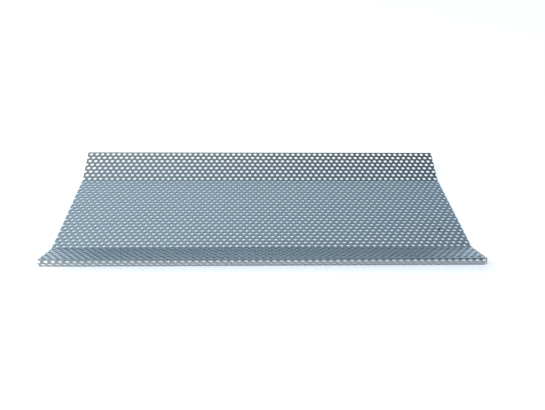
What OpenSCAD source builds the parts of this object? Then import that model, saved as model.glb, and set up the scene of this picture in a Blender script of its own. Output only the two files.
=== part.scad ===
// Sediment screen: one perforated steel sheet, folded into a shallow open-ended tray.
// X runs along the length, Y from the front lip to the back, Z up. All sizes are in millimetres.
// The origin is under the middle of the sheet, on the surface that its floor lies on.

/* [Sheet] */
// Length of the sheet, from end to end
sheet_length = 508; // [200:1:600]
// Thickness of the steel
sheet_t = 1; // [0.8:0.05:1.4]

/* [Perforation] */
// Diameter of the punched holes
hole_d = 5; // [3:0.1:5.6]
// Distance between the centres of neighbouring holes, along a row and across the stagger
hole_pitch = 8; // [7.6:0.1:10]
// Left end of the sheet to the first hole centre of each full row
first_hole = 4.9; // [4.2:0.1:6]

/* [Panels] */
// Rows of holes on the back flange
back_rows = 8; // [3:1:12]
// Rows of holes on the floor
floor_rows = 25; // [5:1:30]
// Rows of holes on the front flange, before the row that the lip's fold runs through
front_rows = 8; // [3:1:12]
// Rows of holes on the lip, after the row that its fold runs through
lip_rows = 1; // [1:1:3]
// Back edge of the sheet to the centres of its first row of holes
back_edge = 3.7; // [3.2:0.1:8]
// Centres of the last row of holes to the lip's lower edge
lip_edge = 4.1; // [3.2:0.1:8]
// How far a panel's slope beside its folds differs from its middle, in degrees: it crowns a hair
panel_camber = 0.1; // [0.05:0.05:1]

/* [Folds] */
// Rise of the two flanges, in degrees
flange_angle = 20; // [10:1:35]
// Inside radius of the folds beside the floor
fold_r = 1.5; // [0.5:0.1:3]
// Turn of the lip, from the line of the front flange, in degrees
lip_turn = 140; // [100:1:150]
// Inside radius of the lip's fold
lip_fold_r = 1.5; // [1:0.1:1.8]

/* [Hidden] */
hole_sides = 48;
fold_steps = 4;
lip_steps = 12;
// How far a punch stands past each face of the sheet
punch_clear = 1;

hole_r = hole_d / 2;
row_pitch = hole_pitch * sin(60);

// Radii, turns and lengths of the folds along the middle of the sheet
fold_mid_r = fold_r + sheet_t / 2;
lip_mid_r = lip_fold_r + sheet_t / 2;
fold_turn = flange_angle + 2 * panel_camber;
fold_arc = fold_mid_r * fold_turn * PI / 180;
lip_arc = lip_mid_r * lip_turn * PI / 180;

// Rows are counted from the back edge, and distances run down the flat sheet from there
front_row = back_rows + floor_rows;
fold_row = front_row + front_rows;
last_row = fold_row + lip_rows;
function row_at(row) = back_edge + row * row_pitch;
back_fold_at = row_at(back_rows - 0.5);
front_fold_at = row_at(front_row - 0.5);
lip_fold_at = row_at(fold_row);
sheet_width = row_at(last_row) + lip_edge;

// A place on the folded section is [y, z, slope], with the slope upwards on the way to the front
function along(slope) = [-cos(slope), sin(slope)];
function facing(slope) = [sin(slope), cos(slope)];
function point_of(p) = [p.x, p.y];
function place(point, slope) = [point.x, point.y, slope];
function run(p, length) = place(point_of(p) + length * along(p.z), p.z);
function turned(p, turn) = place(point_of(p), p.z + turn);
function bend(p, r, turn) =
    place(point_of(p) + sign(turn) * r * (facing(p.z) - facing(p.z + turn)), p.z + turn);
function bend_places(p, r, turn, steps) = [for (i = [0:steps]) bend(p, r, turn * i / steps)];

// A panel is a strip for each row of holes, each turned by a camber step from the one before:
// [its first row, the distances of its strips' edges, the places where its strips start]
function panel(first, count, p, from, to) =
    let (edges = [from, for (row = [first + 1:first + count - 1]) row_at(row - 0.5), to])
    [first, edges, strip_starts(p, edges, camber_step(count))];
function camber_step(count) = 2 * panel_camber / (count - 1);
function strip_starts(p, edges, step, k = 0) =
    k == len(edges) - 1 ? [] : concat([p],
        strip_starts(turned(run(p, edges[k + 1] - edges[k]), -step), edges, step, k + 1));
function strip_place(panel, k, at) = run(panel[2][k], at - panel[1][k]);
function row_place(panel, row) = strip_place(panel, row - panel[0], row_at(row));
function panel_end(panel) = let (n = len(panel[2])) strip_place(panel, n - 1, panel[1][n]);
function panel_kinks(panel) =
    let (n = len(panel[2])) [for (k = [1:n - 1]) turned(panel[2][k], camber_step(n) / 2)];

// The panels and folds, from the back edge to the lip
back_start = [0, 0, panel_camber - flange_angle];
back_panel = panel(0, back_rows, back_start, 0, back_fold_at - fold_arc / 2);
floor_start = bend(panel_end(back_panel), fold_mid_r, fold_turn);
floor_panel = panel(
    back_rows, floor_rows, floor_start, back_fold_at + fold_arc / 2, front_fold_at - fold_arc / 2);
front_start = bend(panel_end(floor_panel), fold_mid_r, fold_turn);
front_panel = panel(
    front_row, front_rows, front_start, front_fold_at + fold_arc / 2, lip_fold_at - lip_arc / 2);
lip_fold_centre = bend(panel_end(front_panel), lip_mid_r, -lip_turn / 2);
lip_start = bend(panel_end(front_panel), lip_mid_r, -lip_turn);
lip_start_at = lip_fold_at + lip_arc / 2;
lip_end = run(lip_start, sheet_width - lip_start_at);

// The middle line of the section, and the outline around it
section = concat(
    [back_start],
    panel_kinks(back_panel),
    bend_places(panel_end(back_panel), fold_mid_r, fold_turn, fold_steps),
    panel_kinks(floor_panel),
    bend_places(panel_end(floor_panel), fold_mid_r, fold_turn, fold_steps),
    panel_kinks(front_panel),
    bend_places(panel_end(front_panel), lip_mid_r, -lip_turn, lip_steps),
    [lip_end]
);
function face_point(p, side) = point_of(p) + side * sheet_t / 2 * facing(p.z);
outline = concat(
    [for (p = section) face_point(p, 1)],
    [for (i = [len(section) - 1:-1:0]) face_point(section[i], -1)]
);
outline_y = [for (p = outline) p.x];
outline_z = [for (p = outline) p.y];
centre_y = (min(outline_y) + max(outline_y)) / 2;
bottom_z = min(outline_z);

// Hole centres of a row, from the sheet's left end; every other row is half a pitch further left
function row_shift(row) = row % 2 == 0 ? 0 : -hole_pitch / 2;
function row_holes(row) = [for (x = [first_hole + row_shift(row):hole_pitch:sheet_length + hole_r]) x];

module sheet_blank() {
    rotate([90, 0, 90])
        linear_extrude(height = sheet_length)
            polygon(outline);
}

// Punches for one row, square to the sheet at a place on its middle line
module row_punches(row, p) {
    for (x = row_holes(row))
        translate([x, p.x, p.y])
            rotate([-p.z, 0, 0])
                cylinder(r = hole_r, h = sheet_t + 2 * punch_clear, center = true, $fn = hole_sides);
}

module panel_punches(panel, count) {
    for (row = [panel[0]:panel[0] + count - 1])
        row_punches(row, row_place(panel, row));
}

// The holes that the lip's fold bends, as balls about their centres on the middle of the sheet
module fold_punches() {
    for (x = row_holes(fold_row))
        translate([x, lip_fold_centre.x, lip_fold_centre.y])
            sphere(r = hole_r, $fn = hole_sides);
}

module lip_punches() {
    for (row = [fold_row + 1:last_row])
        row_punches(row, run(lip_start, row_at(row) - lip_start_at));
}

module screen_sheet() {
    color("#7d8b92")
        translate([-sheet_length / 2, -centre_y, -bottom_z])
            difference() {
                sheet_blank();
                panel_punches(back_panel, back_rows);
                panel_punches(floor_panel, floor_rows);
                panel_punches(front_panel, front_rows);
                fold_punches();
                lip_punches();
            }
}

screen_sheet();
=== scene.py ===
import bpy
import math
from mathutils import Matrix, Vector


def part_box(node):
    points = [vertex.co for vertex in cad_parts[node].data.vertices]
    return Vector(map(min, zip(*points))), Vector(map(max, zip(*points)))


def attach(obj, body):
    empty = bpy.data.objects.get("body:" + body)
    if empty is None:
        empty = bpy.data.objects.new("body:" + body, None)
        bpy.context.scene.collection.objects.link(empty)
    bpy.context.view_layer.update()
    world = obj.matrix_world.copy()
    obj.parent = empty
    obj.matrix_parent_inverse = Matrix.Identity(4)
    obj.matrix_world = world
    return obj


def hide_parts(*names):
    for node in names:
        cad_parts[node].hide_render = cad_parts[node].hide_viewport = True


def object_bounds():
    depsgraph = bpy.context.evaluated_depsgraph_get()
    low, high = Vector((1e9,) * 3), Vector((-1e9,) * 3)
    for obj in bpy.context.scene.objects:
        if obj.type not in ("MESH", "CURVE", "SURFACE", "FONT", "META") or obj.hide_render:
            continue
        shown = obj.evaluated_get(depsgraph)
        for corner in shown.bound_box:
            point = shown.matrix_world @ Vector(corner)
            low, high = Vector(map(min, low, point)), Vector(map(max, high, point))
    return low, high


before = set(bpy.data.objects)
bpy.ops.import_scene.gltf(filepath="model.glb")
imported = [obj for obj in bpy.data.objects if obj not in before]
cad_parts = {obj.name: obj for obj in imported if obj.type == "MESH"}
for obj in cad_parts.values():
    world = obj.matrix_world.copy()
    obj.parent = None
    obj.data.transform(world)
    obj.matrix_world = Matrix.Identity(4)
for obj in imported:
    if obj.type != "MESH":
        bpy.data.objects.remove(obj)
cadLow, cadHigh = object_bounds()
print("frame loaded:", sorted(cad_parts))


class Wire:  # an output socket, on which sums add Math nodes
    def __init__(self, tree, socket=None):
        self.tree = tree
        self.socket = socket

    def node(self, kind, settings=None, values=None, output=0):
        made = self.tree.nodes.new(kind)
        for name, value in (settings or {}).items():
            setattr(made, name, value)
        for name, value in (values or {}).items():
            if isinstance(value, Wire):
                self.tree.links.new(value.socket, made.inputs[name])
            else:
                made.inputs[name].default_value = value
        return Wire(self.tree, made.outputs[output] if made.outputs else None)

    def math(self, operation, first, second=0.0):
        return self.node("ShaderNodeMath", {"operation": operation}, {0: first, 1: second})

    def __add__(self, other):
        return self.math("ADD", self, other)

    def __radd__(self, other):
        return self.math("ADD", other, self)

    def __sub__(self, other):
        return self.math("SUBTRACT", self, other)

    def __rsub__(self, other):
        return self.math("SUBTRACT", other, self)

    def __mul__(self, other):
        return self.math("MULTIPLY", self, other)

    def __rmul__(self, other):
        return self.math("MULTIPLY", other, self)

    def __truediv__(self, other):
        return self.math("DIVIDE", self, other)

    def __mod__(self, other):
        return self.math("FLOORED_MODULO", self, other)

    def between(self, low, high):  # 0 at low, 1 at high, smooth in between
        return self.node("ShaderNodeMapRange", {"interpolation_type": "SMOOTHSTEP"},
                         {"Value": self, "From Min": low, "From Max": high})


def newMaterial(name):
    material = bpy.data.materials.new(name)
    material.use_nodes = True
    material.node_tree.nodes.clear()
    return material, Wire(material.node_tree)


# The perforated sheet, in metres and degrees
sheetSizes = {
    "thickness": 0.001,
    "holeRadius": 0.0025,
    "pitch": 0.008,
    "staggerAngle": 60.0,
    "firstHole": 0.0049,   # left end to the first centre of a full row
    "backEdge": 0.0037,    # back edge to the centres of the first row
    "lipEdge": 0.0041,     # centres of the last row to the lip's lower edge
    "backRows": 8,
    "floorRows": 25,
    "frontRows": 8,
    "lipRows": 1,          # after the row that the lip's fold runs through
    "flangeAngle": 20.0,
    "camber": 0.1,         # each panel crowns by a hair
    "foldRadius": 0.0015,  # inside radii
    "lipTurn": 140.0,
    "lipFoldRadius": 0.0015,
    "holeSteps": 8,        # steps of half a hole's outline
    "bentHoleSteps": 16,   # and in the row that the lip's fold bends
    "foldSteps": 2,
    "sharpAngle": 35.0,    # edges that turn further than this stay sharp
}


def rowPitch(sizes):
    return sizes["pitch"] * math.sin(math.radians(sizes["staggerAngle"]))


def rowAt(sizes, row):  # distance of a row's centres from the back edge, on the flat sheet
    return sizes["backEdge"] + row * rowPitch(sizes)


def foldPlaces(sizes):
    mid = sizes["thickness"] / 2
    turn = math.radians(sizes["flangeAngle"] + 2 * sizes["camber"])
    lipTurn = math.radians(sizes["lipTurn"])
    frontRow = sizes["backRows"] + sizes["floorRows"]
    foldRow = frontRow + sizes["frontRows"]
    return {
        "turn": turn,
        "lipTurn": lipTurn,
        "arc": (sizes["foldRadius"] + mid) * turn,
        "lipArc": (sizes["lipFoldRadius"] + mid) * lipTurn,
        "back": rowAt(sizes, sizes["backRows"] - 0.5),
        "front": rowAt(sizes, frontRow - 0.5),
        "lip": rowAt(sizes, foldRow),
        "foldRow": foldRow,
        "rows": foldRow + 1 + sizes["lipRows"],
        "width": rowAt(sizes, foldRow + sizes["lipRows"]) + sizes["lipEdge"],
    }


def sectionStretches(sizes):  # length and turn of each panel and fold, from the back edge down
    folds = foldPlaces(sizes)
    crown = -2 * math.radians(sizes["camber"])
    half = folds["arc"] / 2
    lipHalf = folds["lipArc"] / 2
    return [
        (folds["back"] - half, crown),
        (folds["arc"], folds["turn"]),
        (folds["front"] - folds["back"] - 2 * half, crown),
        (folds["arc"], folds["turn"]),
        (folds["lip"] - lipHalf - folds["front"] - half, crown),
        (folds["lipArc"], -folds["lipTurn"]),
        (folds["width"] - folds["lip"] - lipHalf, 0.0),
    ]


def placeAt(sizes, distance):  # y, z and slope of the sheet's middle at a distance down from the back edge
    y, z = 0.0, 0.0
    slope = math.radians(sizes["camber"] - sizes["flangeAngle"])
    for length, turn in sectionStretches(sizes):
        part = min(distance, length)
        bend = turn * part / length
        chord = part * (math.sin(bend / 2) / (bend / 2) if bend else 1.0)
        y -= chord * math.cos(slope + bend / 2)
        z += chord * math.sin(slope + bend / 2)
        slope += bend
        distance -= part
    return y, z, slope


def sheetLevels(sizes):  # lines along the sheet: distance from the back edge, half the hole there, row shift
    folds = foldPlaces(sizes)
    stagger = -sizes["pitch"] / 2
    levels = [(0.0, 0.0, 0.0)]
    for row in range(folds["rows"]):
        steps = sizes["bentHoleSteps"] if row == folds["foldRow"] else sizes["holeSteps"]
        for step in range(steps + 1):
            angle = math.pi * (step / steps - 0.5)
            distance = rowAt(sizes, row) + sizes["holeRadius"] * math.sin(angle)
            half = sizes["holeRadius"] * math.cos(angle) if 0 < step < steps else 0.0
            levels.append((distance, half, stagger * (row % 2)))
    for place in (folds["back"], folds["front"]):
        for step in range(sizes["foldSteps"] + 1):
            levels.append((place + folds["arc"] * (step / sizes["foldSteps"] - 0.5), 0.0, stagger / 2))
    levels.append((folds["width"], 0.0, 0.0))
    return sorted(levels)


def makeSectionLine(sizes, low, high):  # the folded section as a line of points, one for each level
    levels = sheetLevels(sizes)
    places = [placeAt(sizes, level[0]) for level in levels]
    half = sizes["thickness"] / 2
    faces = [(y + side * half * math.sin(slope), z + side * half * math.cos(slope))
             for y, z, slope in places for side in (-1, 1)]
    middle = (min(y for y, z in faces) + max(y for y, z in faces)) / 2
    moveY = (low.y + high.y) / 2 - middle
    moveZ = low.z - min(z for y, z in faces)
    mesh = bpy.data.meshes.new("sectionLine")
    mesh.from_pydata([(0.0, y + moveY, z + moveZ) for y, z, slope in places], [], [])
    for name, values in (("along", [level[0] for level in levels]),
                         ("halfHole", [level[1] for level in levels]),
                         ("rowShift", [level[2] for level in levels])):
        mesh.attributes.new(name, "FLOAT", "POINT").data.foreach_set("value", values)
    return mesh


def storeValue(net, geometry, name, value, kind="FLOAT", domain="POINT"):
    return net.node("GeometryNodeStoreNamedAttribute", {"data_type": kind, "domain": domain},
                    {"Geometry": geometry, "Name": name, "Value": value})


def storedValue(net, name):
    return net.node("GeometryNodeInputNamedAttribute", {"data_type": "FLOAT"}, {"Name": name}, "Attribute")


def perforationTree():  # repeats the holes of each level along the sheet, and cuts the sheet to length
    tree = bpy.data.node_groups.new("perforation", "GeometryNodeTree")
    tree.interface.new_socket("Geometry", in_out="INPUT", socket_type="NodeSocketGeometry")
    for name, kind in (("Sheet Length", "Float"), ("Hole Pitch", "Float"), ("First Hole", "Float"),
                       ("Holes", "Int"), ("Finish", "Material")):
        tree.interface.new_socket(name, in_out="INPUT", socket_type="NodeSocket" + kind)
    tree.interface.new_socket("Geometry", in_out="OUTPUT", socket_type="NodeSocketGeometry")
    net = Wire(tree)
    start = tree.nodes.new("NodeGroupInput")
    given = {socket.name: Wire(tree, socket) for socket in start.outputs if socket.name}
    section = given["Geometry"]

    # two lines of vertices for each hole, its left and right outline, and one for each level across
    columns = given["Holes"] * 2
    count = net.node("GeometryNodeAttributeDomainSize", {"component": "MESH"},
                     {"Geometry": section}, "Point Count")
    grid = net.node("GeometryNodeMeshGrid", {}, {
        "Size X": columns - 1, "Size Y": count - 1, "Vertices X": columns, "Vertices Y": count}, "Mesh")
    position = net.node("GeometryNodeInputPosition")
    spot = net.node("ShaderNodeSeparateXYZ", {}, {"Vector": position}, "X")
    across = Wire(tree, spot.socket.node.outputs["Y"])
    grid = storeValue(net, grid, "column", spot + (columns - 1) * 0.5)
    grid = storeValue(net, grid, "level", across + (count - 1) * 0.5)
    column = storedValue(net, "column")
    level = storedValue(net, "level")

    # the faces inside the holes go
    inside = net.math("LESS_THAN", column % 2.0, 1.0)
    web = net.node("GeometryNodeDeleteGeometry", {"domain": "FACE", "mode": "ALL"},
                   {"Geometry": grid, "Selection": inside})

    # every vertex goes to its place on the folded section
    index = net.node("FunctionNodeFloatToInt", {"rounding_mode": "ROUND"}, {0: level})

    def sampled(value, kind="FLOAT"):
        return net.node("GeometryNodeSampleIndex", {"data_type": kind, "domain": "POINT"},
                        {"Geometry": section, "Value": value, "Index": index})

    def named(name):
        return sampled(storedValue(net, name))

    whole = net.math("ROUND", column)
    hole = net.math("FLOOR", whole * 0.5)
    side = (whole % 2.0) * 2.0 - 1.0
    centre = given["First Hole"] + (hole - 1.0) * given["Hole Pitch"] + named("rowShift")
    x = centre + side * named("halfHole")
    x = net.math("MINIMUM", net.math("MAXIMUM", x, 0.0), given["Sheet Length"])
    place = net.node("ShaderNodeSeparateXYZ", {}, {"Vector": sampled(position, "FLOAT_VECTOR")}, "Y")
    height = Wire(tree, place.socket.node.outputs["Z"])
    folded = net.node("ShaderNodeCombineXYZ", {}, {
        "X": x - given["Sheet Length"] * 0.5, "Y": place, "Z": height})
    sheet = net.node("GeometryNodeSetPosition", {}, {"Geometry": web, "Position": folded})
    weldDistance = 1e-6  # vertices closer than this become one
    sheet = net.node("GeometryNodeMergeByDistance", {}, {"Geometry": sheet, "Distance": weldDistance})

    # edges left with no face go
    alone = net.node("GeometryNodeInputMeshEdgeNeighbors")
    sheet = net.node("GeometryNodeDeleteGeometry", {"domain": "EDGE", "mode": "ALL"},
                     {"Geometry": sheet, "Selection": net.math("LESS_THAN", alone, 0.5)})

    # the flat sheet's own measures, for the finish
    shown = net.node("ShaderNodeSeparateXYZ", {}, {"Vector": position}, "X")
    flat = net.node("ShaderNodeCombineXYZ", {}, {
        "X": shown + given["Sheet Length"] * 0.5, "Y": named("along")})
    sheet = storeValue(net, sheet, "flatSheet", flat, "FLOAT2", "CORNER")
    for name in ("column", "level"):
        sheet = net.node("GeometryNodeRemoveAttribute", {}, {"Geometry": sheet, "Name": name})
    sheet = net.node("GeometryNodeRealizeInstances", {}, {"Geometry": sheet})
    sheet = net.node("GeometryNodeSetMaterial", {}, {"Geometry": sheet, "Material": given["Finish"]})
    net.node("NodeGroupOutput", {}, {"Geometry": sheet})
    return tree


def setInputs(modifier, values):
    for item in modifier.node_group.interface.items_tree:
        if item.item_type == "SOCKET" and item.in_out == "INPUT" and item.name in values:
            modifier[item.identifier] = values[item.name]


def makeScreenSheet(sizes, finish):
    low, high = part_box("screen_sheet")
    length = high.x - low.x
    line = bpy.data.objects.new("sectionLine", makeSectionLine(sizes, low, high))
    bpy.context.scene.collection.objects.link(line)
    modifier = line.modifiers.new("perforation", "NODES")
    modifier.node_group = perforationTree()
    setInputs(modifier, {
        "Sheet Length": length,
        "Hole Pitch": sizes["pitch"],
        "First Hole": sizes["firstHole"],
        "Holes": math.ceil(length / sizes["pitch"]) + 2,  # one to spare past each end
        "Finish": finish,
    })
    thick = line.modifiers.new("thickness", "SOLIDIFY")
    thick.thickness = sizes["thickness"]
    thick.offset = 0.0
    thick.use_even_offset = True
    graph = bpy.context.evaluated_depsgraph_get()
    mesh = bpy.data.meshes.new_from_object(line.evaluated_get(graph), depsgraph=graph)
    line.modifiers.clear()
    bpy.data.objects.remove(line)
    mesh.name = "screenSheet"
    mesh.shade_smooth()
    mesh.set_sharp_from_angle(angle=math.radians(sizes["sharpAngle"]))
    piece = bpy.data.objects.new("screenSheet", mesh)
    bpy.context.scene.collection.objects.link(piece)
    mesh.calc_loop_triangles()
    print("screen sheet:", len(mesh.vertices), "vertices,", len(mesh.loop_triangles), "triangles")
    return piece


# Dull rolled steel: blue-grey; greyer on its folds and the rims of its holes, as wear with a painted sheen;
# greyer on its lip, as painted shade; painted shade on the walls of its holes and a painted highlight on
# those of the lip
steelLook = {
    "pale": (0.400, 0.580, 0.735, 1.0),
    "dark": (0.272, 0.402, 0.516, 1.0),
    # greyer tone: wear with a painted sheen on rims and folds, painted shade on the lip
    "wearSheenAndShade": (0.240, 0.252, 0.264, 1.0),
    "wall": (0.130, 0.175, 0.205, 1.0),     # painted shade on the punched walls of the holes
    "lipWallHighlight": (0.600, 0.610, 0.610, 1.0),  # and a painted highlight on those on the lip
    "stain": (0.050, 0.054, 0.052, 1.0),
    "metallic": 0.8,
    "roughness": 0.32,
    "clouds": ((9.0, 14.0), 3.0, 2.7),      # scale along the sheet and down it, detail and seed
    "streaks": ((14.0, 700.0), 2.0, 5.1),
    "grain": ((900.0, 2200.0), 2.0, 8.3),
    "cloudTone": 0.5,                       # share in the change from dark to pale
    "streakTone": 0.35,
    "grainTone": 0.25,
    "toneShift": -0.05,
    "rim": (0.000105, 0.00035),             # inner and outer edge of a hole's rounded rim, from the hole
    # wear with a painted sheen on the rims and along the folds
    "rimWearAndSheen": 0.35,
    "foldBand": 0.0022,                     # half the width of the band along a fold, of wear with a painted sheen
    "foldSheen": 0.1,
    "foldSheenStreaks": 0.5,
    "lipShadeFrom": (-0.002, 0.001),             # where the lip's painted shade starts and is full, from its fold
    "lipPaintedShade": 0.6,
    "lipShadeClouds": 0.3,
    "wallEdge": (0.00002, 0.0001),          # where a wall's painted shade and highlight fade out, from the hole
    "wallPaintedLight": 0.8,
    "lipWallHighlightFrom": (-0.0005, 0.0005),       # where the painted highlight on the walls takes over, from the lip's fold
    "stainPlace": (0.4794, 0.1897),         # from the left end and from the back edge
    "stainEdge": (0.0022, 0.0058),
    "stainBreak": 0.002,                    # how far the grain breaks that edge
    "stainTone": 0.85,
    "cloudRoughness": 0.22,
    "streakRoughness": 0.12,
    "rimRoughness": -0.08,
    "wallRoughness": 0.25,
    "rimHeight": -0.5,
    "grainHeight": 0.10,
    "streakHeight": 0.06,
    "bumpStrength": 0.35,
    "bumpDistance": 0.0002,
}


def flatPlace(net):  # distances from the left end and from the back edge, on the flat sheet
    place = net.node("ShaderNodeSeparateXYZ", {}, {
        "Vector": net.node("ShaderNodeUVMap", {"uv_map": "flatSheet"})}, "X")
    return place, Wire(net.tree, place.socket.node.outputs["Y"])


def holeDistance(net, sizes, along, down):  # from the centre of the nearest hole
    row = net.math("ROUND", (down - sizes["backEdge"]) / rowPitch(sizes))
    across = along - sizes["firstHole"] + (row % 2.0) * (sizes["pitch"] / 2)
    across = across - net.math("ROUND", across / sizes["pitch"]) * sizes["pitch"]
    up = down - sizes["backEdge"] - row * rowPitch(sizes)
    return net.math("SQRT", across * across + up * up)


def steelNoise(net, along, down, scale, detail, seed):  # scale along the sheet and down it
    spot = net.node("ShaderNodeCombineXYZ", {}, {"X": along * scale[0], "Y": down * scale[1], "Z": seed})
    return net.node("ShaderNodeTexNoise", {}, {"Vector": spot, "Scale": 1.0, "Detail": detail}, "Fac")


def mixColour(net, amount, first, second):
    return net.node("ShaderNodeMix", {"data_type": "RGBA"}, {0: amount, 6: first, 7: second}, 2)


def steelFinish(sizes, look):
    material, net = newMaterial("dullSteel")
    along, down = flatPlace(net)
    folds = foldPlaces(sizes)
    clouds = steelNoise(net, along, down, *look["clouds"])
    streaks = steelNoise(net, along, down, *look["streaks"])
    grain = steelNoise(net, along, down, *look["grain"])
    tone = clouds * look["cloudTone"] + streaks * look["streakTone"] + grain * look["grainTone"]
    colour = mixColour(net, tone + look["toneShift"], look["dark"], look["pale"])

    # rims of the holes and the folds, worn and with a painted sheen, and painted shade on the lip
    fromHole = holeDistance(net, sizes, along, down) - sizes["holeRadius"]
    rim = 1 - fromHole.between(*look["rim"])
    wearSheenAndShade = rim * look["rimWearAndSheen"]
    for place in (folds["back"], folds["front"], folds["lip"]):
        band = 1 - net.math("ABSOLUTE", down - place).between(0.0, look["foldBand"])
        wearSheenAndShade = net.math("MAXIMUM", wearSheenAndShade, band * (streaks * look["foldSheenStreaks"] + look["foldSheen"]))
    fromLip = down - folds["lip"]
    # painted shade on the lip: greyer and darker than the rest of the sheet
    lipPaintedShade = fromLip.between(*look["lipShadeFrom"]) * (clouds * look["lipShadeClouds"] + look["lipPaintedShade"])
    wearSheenAndShade = net.math("MAXIMUM", wearSheenAndShade, lipPaintedShade)
    colour = mixColour(net, wearSheenAndShade, colour, look["wearSheenAndShade"])

    # painted shade on the walls of the holes, a painted highlight on those of the lip, and a stain near the
    # right end
    wall = 1 - fromHole.between(*look["wallEdge"])
    wallShadeAndHighlight = mixColour(net, fromLip.between(*look["lipWallHighlightFrom"]), look["wall"], look["lipWallHighlight"])
    colour = mixColour(net, wall * look["wallPaintedLight"], colour, wallShadeAndHighlight)
    offX = along - look["stainPlace"][0]
    offY = down - look["stainPlace"][1]
    fromStain = net.math("SQRT", offX * offX + offY * offY) + grain * look["stainBreak"]
    stain = (1 - fromStain.between(*look["stainEdge"])) * look["stainTone"]
    colour = mixColour(net, stain, colour, look["stain"])

    rough = look["roughness"] + rim * look["rimRoughness"] + wall * look["wallRoughness"]
    rough = rough + (clouds - 0.5) * look["cloudRoughness"] + (streaks - 0.5) * look["streakRoughness"]
    height = rim * look["rimHeight"] + grain * look["grainHeight"] + streaks * look["streakHeight"]
    bump = net.node("ShaderNodeBump", {}, {
        "Height": height, "Strength": look["bumpStrength"], "Distance": look["bumpDistance"]})
    shader = net.node("ShaderNodeBsdfPrincipled", {}, {
        "Base Color": colour, "Metallic": look["metallic"], "Roughness": rough, "Normal": bump})
    net.node("ShaderNodeOutputMaterial", {}, {"Surface": shader})
    return material


screenSheet = makeScreenSheet(sheetSizes, steelFinish(sheetSizes, steelLook))
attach(screenSheet, "root")
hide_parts("screen_sheet")

# The studio: a pale floor with a painted shadow under the sheet, white walls that dim towards the right, a
# dim ceiling, and a softbox at the left
studio = {
    "floorSize": 12.0,
    "floorColour": (0.93, 0.90, 0.86, 1.0),
    "openGlow": (0.50, 0.58, 0.66, 1.0),
    "shadedGlow": (0.16, 0.32, 0.49, 1.0),  # painted shadow under the sheet's floor
    "deepShadowGlow": (0.02, 0.05, 0.08, 1.0),    # painted deep shadow under the front flange
    "deepFrom": (-0.1138, -0.1118),         # front and back of each change, on the floor
    "shadedFrom": (-0.090, -0.086),
    "shadedTo": (0.086, 0.093),
    "shadedEnd": (0.0, 0.003),              # past the sheet's ends
    "deepReach": 0.009,                     # and further past them under the raised front
    "reachFrom": (-0.110, -0.086),
    "lipShadeFrom": (-0.1225, -0.1212),          # painted shade under the lip, deeper towards the right
    "lipDeepTo": (-0.1175, -0.1165),        # and deepest in front
    "lipTo": (-0.1120, -0.1080),
    "lipDim": 0.12,                         # how much it dims at the right end
    "lipFrontDim": 0.25,                    # how much more in front
    "lipFrontRight": 0.38,                  # and how much more again there at the right end
    "leftWall": (1.0, 1.0, 1.0, 1.0),
    "rightWall": (0.42, 0.455, 0.48, 1.0),
    "leftCeiling": (0.67, 0.57, 0.47, 1.0),
    "rightCeiling": (0.02, 0.016, 0.012, 1.0),
    "leftFront": (0.85, 0.85, 0.85, 1.0),
    "rightFront": (0.50, 0.50, 0.50, 1.0),
    "frontCeiling": (0.50, 0.49, 0.48, 1.0),
    "wallTurn": (-0.15, 0.60),              # from left to right, as the X of a direction
    "ceilingTurn": (-0.34, 0.31),
    "ceilingFrom": (0.34, 0.72),            # from wall to ceiling, as its Z
    "frontCeilingFrom": (0.15, 0.55),
    "frontFrom": (0.0, 0.8),                # from the sides to the front, as its -Y
}


def makeFloor(look):
    size = look["floorSize"] / 2
    mesh = bpy.data.meshes.new("floor")
    corners = [(-size, -size, 0.0), (size, -size, 0.0), (size, size, 0.0), (-size, size, 0.0)]
    mesh.from_pydata(corners, [], [(0, 1, 2, 3)])
    floor = bpy.data.objects.new("floor", mesh)
    bpy.context.scene.collection.objects.link(floor)
    material, net = newMaterial("paleFloor")
    matt = net.node("ShaderNodeBsdfDiffuse", {}, {"Color": look["floorColour"]})
    glow = net.node("ShaderNodeEmission", {}, {"Color": floorGlow(net, look), "Strength": seenRays(net)})
    both = net.node("ShaderNodeAddShader", {}, {0: matt, 1: glow})
    below = net.node("ShaderNodeNewGeometry", {}, {}, "Backfacing")  # clear when looked at from below
    nothing = net.node("ShaderNodeBsdfTransparent")
    surface = net.node("ShaderNodeMixShader", {}, {0: below, 1: both, 2: nothing})
    net.node("ShaderNodeOutputMaterial", {}, {"Surface": surface})
    mesh.materials.append(material)


def floorGlow(net, look):  # pale clear of the sheet, with a painted shadow under it
    across = net.node("ShaderNodeSeparateXYZ", {}, {
        "Vector": net.node("ShaderNodeTexCoord", {}, {}, "Object")}, "X")
    back = Wire(net.tree, across.socket.node.outputs["Y"])
    shade = mixColour(net, back.between(*look["shadedFrom"]), look["deepShadowGlow"], look["shadedGlow"])
    reach = (1 - back.between(*look["reachFrom"])) * look["deepReach"]
    pastEnd = (net.math("ABSOLUTE", across) - cadHigh.x - reach).between(*look["shadedEnd"])
    pastFront = 1 - back.between(*look["deepFrom"])
    pastBack = back.between(*look["shadedTo"])
    clear = net.math("MAXIMUM", pastEnd, net.math("MAXIMUM", pastFront, pastBack))

    # painted shade under the lip
    toRight = across.between(cadLow.x, cadHigh.x)
    inFront = 1 - back.between(*look["lipDeepTo"])
    dim = toRight * look["lipDim"] + inFront * (toRight * look["lipFrontRight"] + look["lipFrontDim"])
    dim = dim * back.between(*look["lipShadeFrom"]) * (1 - back.between(*look["lipTo"])) * (1 - pastEnd)
    openGlow = mixColour(net, dim, look["openGlow"], look["deepShadowGlow"])
    return mixColour(net, clear, shade, openGlow)


def seenRays(net):  # 1 for what the camera, a reflection or a clear material sees
    path = net.node("ShaderNodeLightPath", {}, {}, "Is Camera Ray")
    glossy = Wire(net.tree, path.socket.node.outputs["Is Glossy Ray"])
    through = Wire(net.tree, path.socket.node.outputs["Is Transmission Ray"])
    return net.math("MAXIMUM", net.math("MAXIMUM", path, glossy), through)


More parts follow.
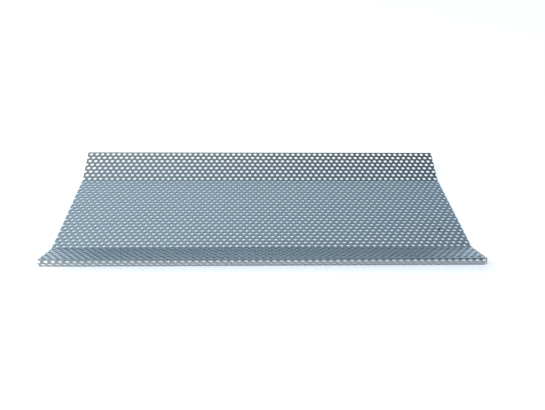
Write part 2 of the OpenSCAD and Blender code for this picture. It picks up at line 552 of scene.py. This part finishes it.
def makeSurround(look):
    world = bpy.data.worlds.new("surround")
    bpy.context.scene.world = world
    world.use_nodes = True
    world.node_tree.nodes.clear()
    net = Wire(world.node_tree)
    toRight = net.node("ShaderNodeSeparateXYZ", {}, {
        "Vector": net.node("ShaderNodeTexCoord", {}, {}, "Generated")}, "X")
    toBack = Wire(net.tree, toRight.socket.node.outputs["Y"])
    up = Wire(net.tree, toRight.socket.node.outputs["Z"])
    side = toRight.between(*look["wallTurn"])
    wall = mixColour(net, side, look["leftWall"], look["rightWall"])
    ceiling = mixColour(net, toRight.between(*look["ceilingTurn"]), look["leftCeiling"], look["rightCeiling"])
    colour = mixColour(net, up.between(*look["ceilingFrom"]), wall, ceiling)
    front = mixColour(net, side, look["leftFront"], look["rightFront"])
    front = mixColour(net, up.between(*look["frontCeilingFrom"]), front, look["frontCeiling"])
    colour = mixColour(net, (0 - toBack).between(*look["frontFrom"]), colour, front)
    light = net.node("ShaderNodeBackground", {}, {"Color": colour, "Strength": 1.0})
    net.node("ShaderNodeOutputWorld", {}, {"Surface": light})


leftSoftbox = {
    "place": (-1.05, -0.5, 0.8),
    "target": (0.0, 0.0, 0.0),
    "size": 1.0,
    "power": 10.0,
}


def addSoftbox(name, look):
    lamp = bpy.data.lights.new(name, "AREA")
    lamp.shape = "SQUARE"
    lamp.size = look["size"]
    lamp.energy = look["power"]
    holder = bpy.data.objects.new(name, lamp)
    holder.location = look["place"]
    aim = Vector(look["target"]) - Vector(look["place"])
    holder.rotation_euler = aim.to_track_quat("-Z", "Y").to_euler()
    bpy.context.scene.collection.objects.link(holder)


makeFloor(studio)
makeSurround(studio)
addSoftbox("leftSoftbox", leftSoftbox)

# The camera, at the photograph's place
cameraView = {
    "place": (-0.0165, -0.77787, 0.45754),
    "pitch": 29.8345,  # degrees below the horizon
    "yaw": -2.4638,
    "roll": 1.1578,
    "lens": 45.152,
    "sensor": 36.0,
    "clipStart": 0.01,
    "shiftX": -0.00595,
}


def makeCamera(view):
    data = bpy.data.cameras.new("camera")
    data.sensor_width = view["sensor"]
    data.lens = view["lens"]
    data.shift_x = view["shiftX"]
    data.clip_start = view["clipStart"]
    camera = bpy.data.objects.new("camera", data)
    turn = (Matrix.Rotation(math.radians(view["yaw"]), 4, "Z")
            @ Matrix.Rotation(math.radians(90 - view["pitch"]), 4, "X")
            @ Matrix.Rotation(math.radians(view["roll"]), 4, "Z"))
    camera.matrix_world = Matrix.Translation(view["place"]) @ turn
    bpy.context.scene.collection.objects.link(camera)
    bpy.context.scene.camera = camera


makeCamera(cameraView)
bpy.context.scene.view_settings.view_transform = "Standard"
print("studio and camera ready")
